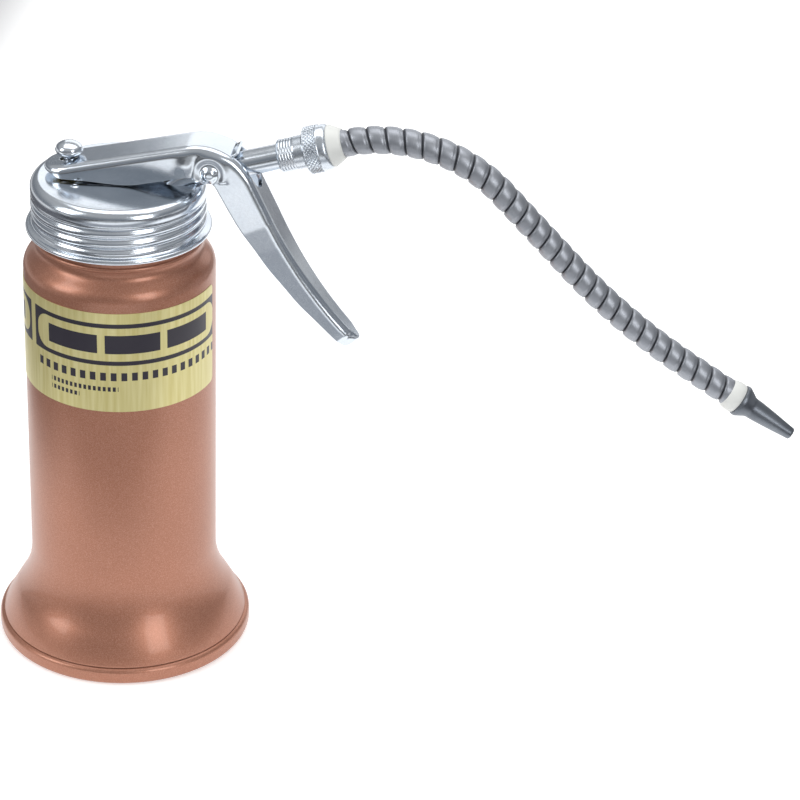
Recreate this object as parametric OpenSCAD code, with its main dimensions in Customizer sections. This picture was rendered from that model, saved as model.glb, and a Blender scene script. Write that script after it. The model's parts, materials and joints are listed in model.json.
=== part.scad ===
// Handy oiler can: spun steel can, screw cap with a lift pump, stamped trigger lever,
// rigid spout tube and a self-supporting flexible metal spout.
// Frame: +Z up, origin on the can's axis at the surface it stands on,
// +X along the vertical plane that the lever and the spout lie in. Millimetres.

/* [Can] */
// Outside diameter of the straight body
body_d = 58; // [56:0.5:62]
// Height where the straight body turns in to the shoulder
shoulder_z = 127.5; // [118:0.5:128]
// Sheet thickness of the can
sheet_t = 0.8; // [0.5:0.1:1]
// Outside diameter of the rolled base ring
base_d = 79.2; // [76:0.4:82]
// Height of the rolled base ring
base_ring_h = 5.2; // [4:0.2:5.4]

/* [Label] */
// Lower edge of the foil label
label_z = 91.3; // [60:0.5:92]
// Height of the foil label
label_h = 32.9; // [20:0.1:33]
// Angle that the label wraps round the body
label_wrap = 290; // [120:5:330]

/* [Cap] */
// Outside radius of the cap's thread crests
cap_r = 26.3; // [26:0.1:27]
// Height of the cap's flat top
cap_top_z = 155.2; // [155:0.1:155.4]
// Radius of the cap's rolled lower rim
cap_rim_r = 27.9; // [27:0.1:28.6]
// Lead of the rolled thread
thread_lead = 3.1; // [2.6:0.1:3.2]

/* [Pump] */
// Distance of the pump rod behind the can's axis
rod_x = -14.7; // [-15:0.1:-14]
// Radius of the pump rod
rod_r = 1.8; // [1.5:0.1:1.9]
// Bore radius of the pump barrel
barrel_bore_r = 6.7; // [6.5:0.1:6.8]
// Largest radius of the riveted rod head
head_r = 4.18; // [3.8:0.02:4.4]

/* [Lever] */
// Outside width of the stamped channel
lever_w = 15.4; // [15:0.1:16]
// Sheet thickness of the lever
lever_t = 1.25; // [1:0.05:1.3]
// Rise of the top arm towards the front, degrees
arm_rise = 13.77; // [13.5:0.01:14]
// Outside radius of the elbow between arm and trigger
elbow_r = 17.6; // [17:0.1:18]

/* [Spout] */
// Rise of the rigid spout tube, degrees
spout_rise = 17; // [16.5:0.5:17.5]
// Radius of the rigid spout tube
tube_r = 3.85; // [3.6:0.05:3.9]
// Radius of the threaded ferrule on the tube
ferrule_r = 5; // [4.8:0.1:5]
// Radius of the knurled spout nut
nut_r = 7.1; // [7:0.1:7.5]
// Crest radius of the flexible metal hose
crest_r = 4.1; // [3.9:0.05:4.2]
// Root radius of the flexible metal hose
root_r = 3.4; // [3.3:0.05:3.5]
// Pitch of the hose's wound turns
hose_pitch = 5.14; // [5:0.02:5.3]

/* [Hidden] */
$fn = 96;

body_r = body_d / 2;
base_r = base_d / 2;

// Flare: an arc off the body, then a straight cone down to the base ring
flare_arc_r = 28;
flare_half = 33.7;
flare_z = 29.5;
flare_edge = [38.3, 6.0];

// Shoulder: small arc, 45 degree slope, then the neck
shoulder_arc_r = 2.6;
neck_r = 24.9;
neck_bore_r = 24.1;
neck_top_z = 152.2;
bead_z = 136.4;
bead_r = 0.8;
floor_z = 3.2;

// Cap
cap_wall = 1.0;
cap_bore_r = 25.2;
cap_corner_r = 2.9;
cap_rim_z = 139.2;
cap_rim_h = 1.8;
thread_turns = 3;
thread_depth = 0.55;

// Pump
barrel_r = 7.5;
barrel_z0 = 108;
barrel_z1 = 142.8;
head_z0 = 139.6;
passage_z = 144.6;
passage_r = 1.6;
packing_r = 3.6;
packing_z0 = 150;
gland_z1 = 157.1;
block_z0 = 142;
block_half_w = 5.3;
bend_r = 10;
chamber_r = 3;
seat_r = 1.8;
seat_z = 102.8;
ball_r = 2.4;
ball_gap = 0.03;
ball_z = seat_z + sqrt(ball_r * ball_r - seat_r * seat_r) + ball_gap;
ball_lift = 1.2;
suction_r = 2.6;
suction_bore_r = 1.8;
strainer_z = 5.6;
piston_z = 115.6;
head_under_z = 161.2;
spring_wire = 0.9;
spring_coil_r = 4.7;
spring_turns = 8;
spring_z0 = piston_z + 2;
spring_z1 = 149.4;

// Tube axis: passes through this point of the lever's plane
tube_x = 37.5;
tube_z = 162.6;
ferrule_u = [11.5, 24.2];
nut_u = [19.8, 27.3];
nut_lip_u = [25.2, 26.1];
sleeve_end_u = 31.2;

// Lever
arm_z = 163.9;
fulcrum = [34.8, 165.9];
half_w = lever_w / 2;
rear_x = -22.4;
blade_dir = -64.3;
blade_straight = 17;
blade_arc = 44;
blade_turn = 18;
flange_deep = [10.4, 9.2, 1.5];
slot_half_w = 4.65;
dimple = [28.7, 161.9];
dimple_r = 2.7;

// Hose: number of wound turns and bend in degrees of each stretch of its centre line
stretches = [[5, -31.5], [5, -31.5], [6, 0], [9, 14], [3, 0]];
sections = len(stretches);
joint_gap = 1.5;
liner_gap = 0.8;
hose_bore_r = 3;
liner_r = 2.9;
liner_bore_r = 1.9;
nozzle_flange_r = 4.95;
nozzle_neck_r = 2.95;
nozzle_tip_r = 1.9;
collar_r = 4.75;
collar_len = 4.3;
nozzle_len = 19.4;

copper = [0.69, 0.44, 0.35];
zinc = [0.76, 0.79, 0.83];
hose_grey = [0.55, 0.57, 0.61];
nylon = [0.92, 0.93, 0.89];

// ---------- helpers ----------

// Points of an arc about c, from angle a0 to a1
function arc(c, r, a0, a1, n = 12) =
    [for (i = [0 : n]) let (a = a0 + (a1 - a0) * i / n) c + r * [cos(a), sin(a)]];

// Where a path that starts at p heading a is after length l, turning t on the way
function advance(p, a, l, t) =
    t == 0 ? p + l * [cos(a), sin(a)]
           : let (r = l / (t * PI / 180)) p + r * [sin(a + t) - sin(a), cos(a) - cos(a + t)];

// Place a child modelled along +X onto a point of the XZ plane, heading a
module along(p, a) {
    translate([p[0], 0, p[1]]) rotate([0, -a, 0]) children();
}

// Solid of revolution about local +X, from [x, r] points
module turned(pts) {
    rotate([0, 90, 0]) rotate_extrude() polygon([for (p = pts) [p[1], p[0]]]);
}

module tube_x(x0, x1, r, bore) {
    turned([[x0, bore], [x1, bore], [x1, r], [x0, r]]);
}

module ring_z(z0, z1, r, bore) {
    rotate_extrude() translate([bore, z0]) square([r - bore, z1 - z0]);
}

// Prism of an outline drawn in the XZ plane, w wide about y = 0
module slab(pts, w) {
    rotate([90, 0, 0]) linear_extrude(w, center = true) polygon(pts);
}

// The tube's bend: from the vertical leg at bend_x round to the sloping axis at bend_u
bend_turn = 90 - spout_rise;
bend_x = 14.9;
bend_u = (bend_x + bend_r * (1 - sin(spout_rise)) - tube_x) / cos(spout_rise);
bend_z = tube_z + bend_u * sin(spout_rise) - bend_r * cos(spout_rise);

module tube_bend(r) {
    translate([bend_x + bend_r, 0, bend_z]) rotate([90, 0, 0])
        rotate([0, 0, 180 - bend_turn]) rotate_extrude(angle = bend_turn)
            translate([bend_r, 0]) circle(r, $fn = 64);
}

function tube_point(u) = [tube_x + u * cos(spout_rise), tube_z + u * sin(spout_rise)];

module on_tube() {
    along([tube_x, tube_z], spout_rise) children();
}

// ---------- can ----------

shoulder_tip = [body_r - shoulder_arc_r * (1 - cos(45)), shoulder_z + shoulder_arc_r * sin(45)];
neck_z = shoulder_tip[1] + shoulder_tip[0] - neck_r;

// Right-hand outline of the can's outer surface, from the flare's edge up to the neck's top
function can_outline() = concat(
    [flare_edge],
    arc([body_r + flare_arc_r, flare_z], flare_arc_r, 180 + flare_half, 180, 8),
    arc([body_r - shoulder_arc_r, shoulder_z], shoulder_arc_r, 0, 45, 6),
    [[neck_r, neck_z]],
    arc([neck_r, bead_z], bead_r, -90, 90, 8),
    [[neck_r, neck_top_z]]);

module can_shell() color(copper) {
    inner = [[neck_bore_r, neck_top_z], [neck_bore_r, neck_z - 0.4],
             [body_r - sheet_t, shoulder_z]];
    inner_flare = arc([body_r + flare_arc_r, flare_z], flare_arc_r + sheet_t, 180, 180 + flare_half, 8);
    rotate_extrude() polygon(concat(can_outline(), inner, inner_flare,
                                    [[flare_edge[0] - sheet_t, flare_edge[1] - 0.5]]));
}

// Dished bottom with its edge turned down inside the base ring
module can_bottom() color(copper)
    rotate_extrude() polygon([
        [0, floor_z], [33.5, floor_z], [35.6, 1.2], [37.2, 1.2], [37.2, 5.0], [36.4, 5.0],
        [36.4, 2.2], [36.0, 2.2], [33.9, floor_z + 0.9], [0, floor_z + 0.9]]);

// Rolled seam that closes the flare over the bottom
module base_ring() color(copper)
    rotate_extrude() difference() {
        polygon(concat(
            [[36.4, 0], [base_r - 1.3, 0]],
            arc([base_r - 1.3, 1.3], 1.3, -90, 0, 5),
            arc([base_r - 1.6, base_ring_h - 1.6], 1.6, 0, 90, 5),
            [[37.3, base_ring_h], [37.3, 1.1], [36.4, 1.1]]));
        polygon([[37.0, 5.1], [38.35, 6.1], [39.0, 7], [36, 7]]);
    }

module label() color([0.86, 0.80, 0.55])
    rotate([0, 0, -6 - label_wrap]) rotate_extrude(angle = label_wrap)
        translate([body_r, label_z]) square([0.2, label_h]);

// ---------- cap ----------

module cap_gasket() color([0.35, 0.26, 0.18])
    ring_z(neck_top_z, cap_top_z - cap_wall, neck_r, 23.4);

// Rolled thread on the cap's wall, drawn as rings at the lead
function cap_wall_outline() = [
    for (i = [0 : thread_turns - 1]) let (z = cap_rim_z + cap_rim_h + 0.6 + i * thread_lead)
        each [[cap_r - thread_depth, z], [cap_r, z + 0.9], [cap_r, z + 1.7],
              [cap_r - thread_depth, z + 2.6]]];

module cap_body()
    rotate_extrude() polygon(concat(
        [[0, cap_top_z - cap_wall], [cap_bore_r, cap_top_z - cap_wall],
         [cap_bore_r, cap_rim_z + 0.8], [cap_bore_r + 0.6, cap_rim_z], [cap_rim_r - 0.8, cap_rim_z]],
        arc([cap_rim_r - 0.9, cap_rim_z + 0.9], 0.9, -80, 90, 8),
        cap_wall_outline(),
        arc([cap_r - cap_corner_r, cap_top_z - cap_corner_r], cap_corner_r, 0, 90, 8),
        [[0, cap_top_z]]));

module screw_cap() color(zinc)
    difference() {
        cap_body();
        translate([rod_x, 0, cap_top_z - 3]) cylinder(h = 6, r = packing_r);
        tube_bend(tube_r + 0.05);
        // the tube leans low over the cap's front edge, so its hole runs on forward
        on_tube() translate([bend_u - 0.5, 0, 0]) rotate([0, 90, 0]) cylinder(h = 8, r = tube_r + 0.12);
        // vent hole that lets air in as the oil leaves
        translate([rod_x + 3.6, -9.6, cap_top_z - 3]) cylinder(h = 6, r = 0.6, $fn = 24);
    }

// ---------- pump ----------

// One casting under the cap: barrel socket and rod gland at the back, tube socket at the front
module pump_head() color([0.66, 0.66, 0.64])
    difference() {
        union() {
            translate([rod_x, 0, head_z0]) cylinder(h = cap_top_z - cap_wall - head_z0, r = 8.2);
            translate([rod_x, 0, cap_top_z - cap_wall - 1]) cylinder(h = cap_wall + 1, r = packing_r);
            translate([rod_x, -block_half_w, block_z0])
                cube([bend_x + tube_r + 1.5 - rod_x, 2 * block_half_w, bend_z - block_z0]);
        }
        translate([rod_x, 0, head_z0 - 1]) cylinder(h = barrel_z1 - head_z0 + 1, r = barrel_r);
        translate([rod_x, 0, barrel_z1 - 1]) cylinder(h = spring_z1 - barrel_z1 + 1, r = 5.6);
        translate([rod_x, 0, spring_z1 - 1]) cylinder(h = 4, r = rod_r + 0.08);
        translate([rod_x, 0, packing_z0]) cylinder(h = 8, r = 3);
        translate([rod_x, 0, passage_z]) rotate([0, 90, 0])
            cylinder(h = bend_x - rod_x, r = passage_r, $fn = 48);
        translate([bend_x, 0, block_z0 + 0.6]) cylinder(h = 8, r = 2.6, $fn = 48);
    }

module gland_nut() color([0.74, 0.66, 0.42])
    translate([rod_x, 0, 0]) difference() {
        union() {
            translate([0, 0, cap_top_z]) cylinder(h = gland_z1 - cap_top_z, r = 4.8, $fn = 6);
            translate([0, 0, 153]) cylinder(h = cap_top_z - 153, r = 3);
        }
        translate([0, 0, 150]) cylinder(h = 10, r = rod_r + 0.08);
    }

module rod_packing() color([0.20, 0.19, 0.18])
    translate([rod_x, 0, 0]) ring_z(packing_z0, 153, 3, rod_r + 0.03);

module pump_barrel() color([0.80, 0.68, 0.38])
    translate([rod_x, 0, 0]) ring_z(barrel_z0, barrel_z1, barrel_r, barrel_bore_r);

// Screwed up into the barrel's lower end, with the ball seat in its middle
module foot_valve() color([0.78, 0.66, 0.36])
    translate([rod_x, 0, 0]) difference() {
        union() {
            translate([0, 0, 99]) cylinder(h = barrel_z0 - 99, r = barrel_r);
            translate([0, 0, barrel_z0]) cylinder(h = 1.6, r = barrel_bore_r);
        }
        translate([0, 0, seat_z]) cylinder(h = 8, r = chamber_r);
        translate([0, 0, 98]) cylinder(h = 6, r = seat_r);
        translate([0, 0, 98]) cylinder(h = 3.6, r = suction_r);
        translate([0, 8, ball_z + ball_r + ball_lift + 0.6]) rotate([90, 0, 0])
            cylinder(h = 16, r = 0.5, $fn = 24);
    }

module ball_retainer() color(zinc)
    translate([rod_x, 6.4, ball_z + ball_r + ball_lift + 0.6]) rotate([90, 0, 0])
        cylinder(h = 12.8, r = 0.5, $fn = 24);

module suction_tube() color([0.80, 0.68, 0.38])
    translate([rod_x, 0, 0]) ring_z(strainer_z + 2, 101.6, suction_r, suction_bore_r);

// Cup with a ring of round inlet holes near the can's floor
module strainer() color([0.78, 0.66, 0.36])
    translate([rod_x, 0, 0]) difference() {
        translate([0, 0, strainer_z]) cylinder(h = 9, r = 4.6);
        translate([0, 0, strainer_z + 1]) cylinder(h = 6, r = 3.8);
        translate([0, 0, strainer_z + 2]) cylinder(h = 9, r = suction_r);
        for (i = [0 : 7]) rotate([0, 0, i * 45]) translate([0, 0, strainer_z + 4])
            rotate([0, 90, 0]) cylinder(h = 8, r = 0.8, $fn = 24);
    }

module valve_ball() color([0.85, 0.86, 0.88])
    translate([rod_x, 0, ball_z]) sphere(ball_r, $fn = 48);

module pump_rod() color(zinc)
    translate([rod_x, 0, piston_z - 5.6]) cylinder(h = head_under_z - piston_z + 5.6, r = rod_r);

// Domed rivet head that the lever lifts
module rod_head() color(zinc)
    translate([rod_x, 0, head_under_z]) rotate_extrude() polygon(concat(
        [[0, 0], [3.05, 0], [head_r, 1.5], [head_r, 2.1]],
        [for (i = [1 : 7]) let (a = i * 90 / 8) [head_r * cos(a), 2.1 + 2.2 * sin(a)]],
        [[0, 4.3]]));

module piston() color([0.78, 0.66, 0.36])
    translate([rod_x, 0, 0]) ring_z(piston_z, piston_z + 2, 6.1, rod_r);

module piston_cup() color([0.30, 0.22, 0.16])
    translate([rod_x, 0, piston_z - 2.6]) rotate_extrude() polygon([
        [rod_r, 0], [6.2, 0], [barrel_bore_r - 0.04, 0.5], [barrel_bore_r - 0.04, 2.6], [6.15, 2.6],
        [6.15, 2.55], [rod_r, 2.55]]);

module piston_washer() color(zinc)
    translate([rod_x, 0, 0]) ring_z(piston_z - 3.5, piston_z - 2.6, 5.6, rod_r);

module piston_nut() color(zinc)
    translate([rod_x, 0, piston_z - 5.4]) difference() {
        cylinder(h = 1.9, r = 3.7, $fn = 6);
        translate([0, 0, -1]) cylinder(h = 4, r = rod_r);
    }

// Helical compression spring, swept as one polyhedron
module return_spring() color([0.55, 0.56, 0.58]) {
    steps = 16;
    sides = 6;
    count = spring_turns * steps;
    rise = spring_z1 - spring_z0 - spring_wire;
    pts = [for (i = [0 : count], k = [0 : sides - 1])
        let (a = 360 * i / steps, b = 360 * k / sides, r = spring_coil_r + spring_wire / 2 * cos(b))
        [rod_x + r * cos(a), r * sin(a),
         spring_z0 + spring_wire / 2 + rise * i / count + spring_wire / 2 * sin(b)]];
    sides_faces = [for (i = [0 : count - 1], k = [0 : sides - 1])
        [i * sides + k, i * sides + (k + 1) % sides, (i + 1) * sides + (k + 1) % sides, (i + 1) * sides + k]];
    ends = [[for (k = [0 : sides - 1]) sides - 1 - k], [for (k = [0 : sides - 1]) count * sides + k]];
    polyhedron(pts, concat(sides_faces, ends), convexity = 10);
}

// ---------- lever ----------

arm_tan = tan(arm_rise);
elbow_turn = arm_rise - blade_dir;
// Corner where the arm's top line and the blade's line would meet, and the arc inside it
blade_on = [42.6, 157.0];
corner_x = (blade_on[1] - arm_z - tan(blade_dir) * blade_on[0]) / (arm_tan - tan(blade_dir));
corner = [corner_x, arm_z + arm_tan * corner_x];
elbow_set = elbow_r * tan(elbow_turn / 2);
elbow_in = corner - elbow_set * [cos(arm_rise), sin(arm_rise)];
elbow_c = elbow_in + elbow_r * [sin(arm_rise), -cos(arm_rise)];
blade_0 = corner + elbow_set * [cos(blade_dir), sin(blade_dir)];
blade_1 = blade_0 + blade_straight * [cos(blade_dir), sin(blade_dir)];

// Point of the blade's outer face at fraction f of its arc, moved d in along the normal
function blade_point(f, d) =
    let (a = blade_dir + blade_turn * f)
    advance(blade_1, blade_dir, blade_arc * f, blade_turn * f) + d * [sin(a), -cos(a)];
function blade_depth(f) = flange_deep[1] + (flange_deep[2] - flange_deep[1]) * f;

// Outer face of the lever from its rear end to the trigger's tip, moved d inwards
function lever_back(d) = concat(
    [[rear_x - 1, arm_z + arm_tan * (rear_x - 1) - d / cos(arm_rise)]],
    arc(elbow_c, elbow_r - d, 90 + arm_rise, 90 + blade_dir, 14),
    [for (i = [0 : 10]) blade_point(i / 10, d)]);

// Free edge of the flanges from the trigger's tip back to the rear, pushed out by e
function lever_edge(e) = concat(
    [for (i = [10 : -1 : 0]) blade_point(i / 10, blade_depth(i / 10) + e)],
    [[31.2 - e, 156.4 - e], [30 - e / 2, 158.6 - e], [27, 158.7 - e], [24.4, 159.8 - e],
     [15, 158.2 - e], [9, 156.8 - e], [4, 155.6 - e], [-15, 155.6 - e], [-18, 156.6 - e],
     [-20.4, 158.0 - e], [rear_x - 1, 157.8 - e]]);

// Widths: full on the arm with a round rear end, tapering down the trigger to a round tip
module lever_plan(inset) {
    w = half_w - inset;
    tip_w = 4.7 - inset;
    tip_z = 106.5;
    intersection() {
        union() {
            translate([rear_x + half_w, 0, 90]) cylinder(h = 90, r = w);
            translate([rear_x + half_w, -w, 90]) cube([110, 2 * w, 90]);
        }
        rotate([90, 0, 90]) linear_extrude(220, center = true) polygon(concat(
            [[w, 190], [w, 147]],
            [for (i = [0 : 6]) [tip_w * cos(i * 15), tip_z - (tip_w + 1.2) * sin(i * 15)]],
            [for (i = [5 : -1 : 0]) [-tip_w * cos(i * 15), tip_z - (tip_w + 1.2) * sin(i * 15)]],
            [[-w, 147], [-w, 190]]));
    }
}

// Short tongue at the head of the slot, bent up over the spout tube that it rocks on
module slot_tongue()
    slab([[33.2, 166.1], [34.4, 166.0], [36.4, 167.25], [36.0, 168.2], [34, 167.4], [33, 167.2]],
         2 * slot_half_w);

module trigger_lever() color(zinc) {
    difference() {
        intersection() {
            slab(concat(lever_back(0), lever_edge(0)), lever_w);
            lever_plan(0);
        }
        intersection() {
            slab(concat(lever_back(lever_t), lever_edge(4)), lever_w);
            lever_plan(lever_t);
        }
        // slot that the spout tube comes out of, open to the trigger's front face
        along(blade_0, blade_dir) {
            translate([-9.6, -slot_half_w, -6]) cube([9.15, 2 * slot_half_w, 12]);
            translate([-0.45, 0, -6]) cylinder(h = 12, r = slot_half_w);
        }
        // oblong hole for the pump rod
        translate([rod_x - 0.7, 0, 150]) cylinder(h = 20, r = 2.2);
        translate([rod_x + 0.5, 0, 150]) cylinder(h = 20, r = 2.2);
        translate([rod_x - 0.7, -2.2, 150]) cube([1.2, 4.4, 20]);
        // round dimples pressed in on both sides of the elbow
        for (s = [-1, 1]) translate([dimple[0], s * (half_w + 1.7), dimple[1]]) sphere(dimple_r, $fn = 32);
    }
    slot_tongue();
    // the metal that the dimples push inwards
    for (s = [-1, 1]) difference() {
        translate([dimple[0], s * (half_w + 1.2), dimple[1]]) sphere(dimple_r + 0.6, $fn = 32);
        translate([dimple[0], s * (half_w + 1.7), dimple[1]]) sphere(dimple_r, $fn = 32);
        translate([dimple[0] - 5, s > 0 ? half_w - lever_t + 0.4 : lever_t - half_w - 8.4, dimple[1] - 5])
            cube([10, 8, 10]);
    }
}

// ---------- spout ----------

module spout_tube() color(zinc)
    on_tube() tube_x(bend_u, ferrule_u[1] - 1.2, tube_r, 2.6);

// The tube's lower end, bent down to stand on the pump head
module spout_elbow() color(zinc)
    translate([bend_x + bend_r, 0, bend_z]) rotate([90, 0, 0])
        rotate([0, 0, 180 - bend_turn]) rotate_extrude(angle = bend_turn)
            translate([bend_r, 0]) difference() {
                circle(tube_r, $fn = 64);
                circle(2.6, $fn = 64);
            }

// Threaded collar that the nut screws onto, brazed on the tube's end
module spout_ferrule() color(zinc)
    on_tube() difference() {
        union() {
            tube_x(ferrule_u[0] + 0.5, ferrule_u[1], ferrule_r, 2.6);
            tube_x(ferrule_u[0], ferrule_u[0] + 0.5, ferrule_r - 0.4, 2.6);
        }
        tube_x(ferrule_u[0] - 1, ferrule_u[1] - 1.2, tube_r, 0);
        for (i = [0 : 3]) tube_x(ferrule_u[0] + 1.3 + i, ferrule_u[0] + 1.7 + i, ferrule_r + 1, ferrule_r - 0.25);
    }

module spout_nut() color(zinc)
    on_tube() difference() {
        turned([[nut_u[0], ferrule_r + 0.05], [nut_lip_u[0], ferrule_r + 0.05], [nut_lip_u[0], 3.4],
                [nut_lip_u[1], 3.4], [nut_lip_u[1], 6.5], [nut_u[1], 6.5], [nut_u[1], 6.6],
                [nut_u[1] - 0.9, nut_r - 0.1], [nut_u[0] + 5.3, nut_r - 0.1],
                [nut_u[0] + 5.1, nut_r], [nut_u[0] + 0.5, nut_r], [nut_u[0], nut_r - 0.5]]);
        // straight grip flutes
        for (i = [0 : 23]) rotate([i * 15, 0, 0]) translate([nut_u[0] - 1, 0, nut_r + 0.15])
            rotate([0, 90, 0]) cylinder(h = 5.4, r = 0.5, $fn = 24);
    }

// White cone that closes the nut's mouth round the hose
module hose_sleeve() color(nylon)
    on_tube() turned([[nut_lip_u[1] + 0.1, 3], [sleeve_end_u, 3], [sleeve_end_u, 4.3],
                      [nut_u[1] + 0.6, 6.3], [nut_u[1], 6.4], [nut_lip_u[1] + 0.1, 6.4]]);

// ---------- flexible hose ----------

hose_start = tube_point(sleeve_end_u);

// Where stretch k of the centre line starts: [point, heading]
function stretch_start(k) =
    k == 0 ? [hose_start, spout_rise]
           : let (s = stretch_start(k - 1), q = stretches[k - 1])
             [advance(s[0], s[1], q[0] * hose_pitch, q[1]), s[1] + q[1]];
// Point and heading d along stretch k
function hose_at(k, d) =
    let (s = stretch_start(k), q = stretches[k], l = q[0] * hose_pitch, t = q[1] * d / l)
    [advance(s[0], s[1], d, t), s[1] + t];

// Tube that follows stretch k from d0 to d1
module bent_tube(k, d0, d1, r, bore) {
    q = stretches[k];
    l = q[0] * hose_pitch;
    p = hose_at(k, d0);
    if (q[1] == 0)
        along(p[0], p[1]) tube_x(0, d1 - d0, r, bore);
    else {
        bend_r = l / (abs(q[1]) * PI / 180);
        up = q[1] > 0 ? 1 : -1;
        turn = abs(q[1]) * (d1 - d0) / l;
        // the bend lies in the XZ plane, about a centre beside the path
        along(p[0], p[1]) translate([0, 0, up * bend_r]) rotate([90, 0, 0])
            rotate([0, 0, up > 0 ? -90 : 90 - turn]) rotate_extrude(angle = turn, $fn = 180)
                translate([bend_r, 0]) difference() {
                    circle(r, $fn = 48);
                    circle(bore, $fn = 48);
                }
    }
}

// Raised turn of the wound strip, centred d along stretch k
module turn_ring(k, d) {
    p = hose_at(k, d);
    half = hose_pitch / 2 - joint_gap / 2;
    inner = (root_r + hose_bore_r) / 2;
    along(p[0], p[1]) turned([[-half, inner], [half, inner], [half, root_r + 0.1],
        [half - 0.45, crest_r], [-half + 0.45, crest_r], [-half, root_r + 0.1]]);
}

// One stiff length of the hose; it bends in the grooves between these lengths
module hose_section(k) color(hose_grey) {
    l = stretches[k][0] * hose_pitch;
    bent_tube(k, k == 0 ? 0 : joint_gap / 2, l - (k == sections - 1 ? 0 : joint_gap / 2), root_r, hose_bore_r);
    for (i = [0 : stretches[k][0] - 1]) turn_ring(k, hose_pitch * (i + 0.5));
}

module hose_1() hose_section(0);
module hose_2() hose_section(1);
module hose_3() hose_section(2);
module hose_4() hose_section(3);
module hose_5() hose_section(4);

// Plastic lining tube inside one length of the hose
module liner_section(k) color(nylon)
    bent_tube(k, k == 0 ? 0.1 : liner_gap / 2,
              stretches[k][0] * hose_pitch - (k == sections - 1 ? 0.1 : liner_gap / 2), liner_r, liner_bore_r);

module liner_1() liner_section(0);
module liner_2() liner_section(1);
module liner_3() liner_section(2);
module liner_4() liner_section(3);
module liner_5() liner_section(4);

// Flared stub of the lining that the spout nut clamps against the ferrule
module liner_flange() color(nylon)
    on_tube() turned([[ferrule_u[1] + 0.1, liner_bore_r], [sleeve_end_u, liner_bore_r], [sleeve_end_u, liner_r],
                      [nut_lip_u[0] - 0.1, liner_r], [nut_lip_u[0] - 0.1, 4.6], [ferrule_u[1] + 0.1, 4.6]]);

module at_hose_end() {
    p = stretch_start(sections);
    along(p[0], p[1]) children();
}

module tip_collar() color(nylon)
    at_hose_end() turned([[0, 2], [collar_len, 2], [collar_len, collar_r], [collar_len - 1, collar_r],
                          [1.2, 4.3], [0, 3.6]]);

module nozzle() color([0.42, 0.44, 0.48])
    at_hose_end() translate([collar_len, 0, 0]) difference() {
        turned([[-3.6, 1.1], [nozzle_len, 1.1], [nozzle_len, nozzle_tip_r], [nozzle_len - 6, 2.4],
                [5, nozzle_neck_r], [4.2, nozzle_neck_r + 0.2], [1, nozzle_flange_r], [0, nozzle_flange_r],
                [0, 1.9], [-3.6, 1.9]]);
        turned([[-4, 0], [nozzle_len + 1, 0], [nozzle_len + 1, 0.9], [-4, 0.9]]);
    }

can_shell();
can_bottom();
base_ring();
label();
cap_gasket();
screw_cap();
pump_head();
gland_nut();
rod_packing();
pump_barrel();
foot_valve();
ball_retainer();
suction_tube();
strainer();
spout_elbow();
spout_tube();
spout_ferrule();
valve_ball();
pump_rod();
rod_head();
piston();
piston_cup();
piston_washer();
piston_nut();
return_spring();
trigger_lever();
spout_nut();
hose_sleeve();
liner_flange();
liner_1();
liner_2();
liner_3();
liner_4();
liner_5();
hose_1();
hose_2();
hose_3();
hose_4();
hose_5();
tip_collar();
nozzle();
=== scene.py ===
"""Looks of the handy oiler can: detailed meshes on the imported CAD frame, studio light and camera."""

import json
import math

import bmesh
import bpy
from mathutils import Matrix, Vector


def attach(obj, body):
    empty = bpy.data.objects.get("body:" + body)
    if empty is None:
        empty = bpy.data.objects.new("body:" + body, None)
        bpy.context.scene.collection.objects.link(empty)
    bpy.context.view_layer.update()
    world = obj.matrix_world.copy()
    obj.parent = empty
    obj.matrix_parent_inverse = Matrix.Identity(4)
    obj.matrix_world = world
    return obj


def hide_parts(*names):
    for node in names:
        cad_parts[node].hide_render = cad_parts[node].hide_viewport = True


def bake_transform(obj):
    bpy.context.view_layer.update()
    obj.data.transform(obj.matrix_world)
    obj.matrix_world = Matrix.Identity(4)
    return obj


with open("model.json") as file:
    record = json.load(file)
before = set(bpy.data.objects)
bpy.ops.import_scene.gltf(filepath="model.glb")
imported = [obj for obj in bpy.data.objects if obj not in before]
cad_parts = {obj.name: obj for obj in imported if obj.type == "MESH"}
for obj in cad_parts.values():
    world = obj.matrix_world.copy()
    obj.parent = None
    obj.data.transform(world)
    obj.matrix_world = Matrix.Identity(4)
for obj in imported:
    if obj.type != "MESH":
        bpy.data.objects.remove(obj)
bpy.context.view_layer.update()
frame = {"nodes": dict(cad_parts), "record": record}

MM = 0.001
TAU = 2 * math.pi
NODES = frame["nodes"]

# where the main pieces stand, in millimetres
BODY_R = 29.0
ROD_X = -14.7
LABEL_AZ = -7.0
LABEL_WRAP = 289.0
LABEL_Z = (91.3, 124.2)
CAP_TOP = 155.5
THREAD_LEAD = 3.1
SPRING_LOW, SPRING_TOP = 117.6, 149.4


# ---------- small helpers ----------


def arc(cx, cz, r, a0, a1, n):
    """Points of an arc, angles in degrees."""
    out = []
    for i in range(n + 1):
        a = math.radians(a0 + (a1 - a0) * i / n)
        out.append((cx + r * math.cos(a), cz + r * math.sin(a)))
    return out


def smooth_curve(points, steps):
    """Catmull-Rom curve through given points."""
    out = []
    p = [points[0], *points, points[-1]]
    for i in range(1, len(p) - 2):
        for j in range(steps):
            t = j / steps
            out.append(
                tuple(
                    0.5
                    * (
                        2 * b
                        + (c - a) * t
                        + (2 * a - 5 * b + 4 * c - d) * t * t
                        + (3 * b - a - 3 * c + d) * t**3
                    )
                    for a, b, c, d in zip(p[i - 1], p[i], p[i + 1], p[i + 2])
                )
            )
    out.append(tuple(points[-1]))
    return out


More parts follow.
